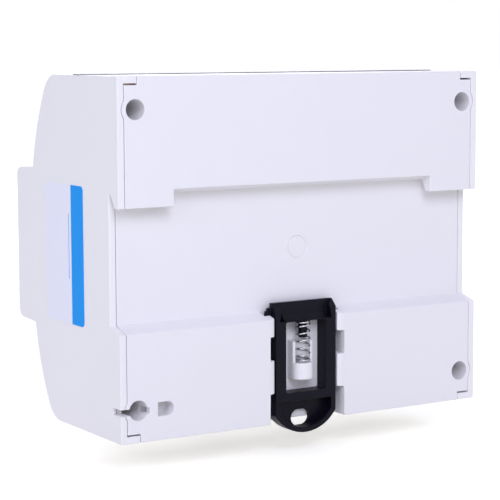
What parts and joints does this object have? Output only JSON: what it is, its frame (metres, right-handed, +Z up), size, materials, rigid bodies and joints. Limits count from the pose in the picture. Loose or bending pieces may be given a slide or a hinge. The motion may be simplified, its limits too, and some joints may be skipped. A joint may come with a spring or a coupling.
{
  "type": "three-phase energy meter",
  "caption": "White modular electricity meter with a bowed front, screwed terminal covers and a display, held on a mounting rail by two hooks and a black spring clip.",
  "frame": {"origin": "middle of the flat seat on which the mounting rail lies, half way across the case and half way between the rail's edges", "axes": "+X across the case towards the labelled side, +Y out of the rear towards the rail, +Z up"},
  "size_m": [0.1221, 0.0658, 0.1039],
  "materials": {
    "case_plastic": "fine matte",
    "clip_plastic": "satin",
    "spring_steel": "drawn wire",
    "screw_steel": "zinc plated",
    "window_clear": "clear",
    "lcd_glass": "satin",
    "frame_white": "matte",
    "board_green": "solder mask",
    "spacer_brass": "turned",
    "part_black": "matte",
    "battery_steel": "bright",
    "core_iron": "varnished laminations",
    "capacitor_sleeve": "shrink sleeve",
    "varistor_blue": "dipped coating",
    "ring_resin": "moulded resin",
    "bar_copper": "bare copper",
    "terminal_brass": "nickel free brass",
    "lamp_red": "tinted clear",
    "button_grey": "satin",
    "signal_green": "matte",
    "label_paper": "coated paper",
    "strip_grey": "matte film"
  },
  "bodies": {
    "case": {"rear_base": "case_plastic", "front_shell": "case_plastic", "terminal_cover_top": "case_plastic", "terminal_cover_bottom": "case_plastic", "clip_spring": "spring_steel", "cover_screws": "screw_steel", "case_screws": "screw_steel", "board_screws": "screw_steel", "terminal_screws_top": "screw_steel", "terminal_screws_bottom": "screw_steel", "signal_screws": "screw_steel", "display_window": "window_clear", "lcd_panel": "lcd_glass", "lcd_frame": "frame_white", "display_board": "board_green", "power_board": "board_green", "board_spacers": "spacer_brass", "board_header": "part_black", "metering_chip": "part_black", "tact_switch": "part_black", "rtc_battery": "battery_steel", "supply_transformer": "core_iron", "filter_capacitors": "capacitor_sleeve", "surge_varistors": "varistor_blue", "current_transformer_1": "ring_resin", "current_transformer_2": "ring_resin", "current_transformer_3": "ring_resin", "phase_bar_1": "bar_copper", "phase_bar_2": "bar_copper", "phase_bar_3": "bar_copper", "neutral_bar": "bar_copper", "terminal_phase_1_top": "terminal_brass", "terminal_phase_1_bottom": "terminal_brass", "terminal_phase_2_top": "terminal_brass", "terminal_phase_2_bottom": "terminal_brass", "terminal_phase_3_top": "terminal_brass", "terminal_phase_3_bottom": "terminal_brass", "terminal_neutral_top": "terminal_brass", "terminal_neutral_bottom": "terminal_brass", "pulse_lamps": "lamp_red", "signal_terminal": "signal_green", "side_label": "label_paper", "top_strip": "strip_grey"},
    "clip": {"rail_clip": "clip_plastic"},
    "button": {"scroll_button": "button_grey"}
  },
  "joints": [
    {"name": "clip_slide", "type": "slide", "parent": "case", "child": "clip", "axis": [0, 0, -1], "range_m": [0, 0.0055], "stiffness_N_per_m": 350, "springref_m": -0.007, "deforming": ["clip_spring"]},
    {"name": "button_press", "type": "slide", "parent": "case", "child": "button", "axis": [0, 1, 0], "range_m": [0, 0.0008], "stiffness_N_per_m": 500, "springref_m": -0.001}
  ]
}
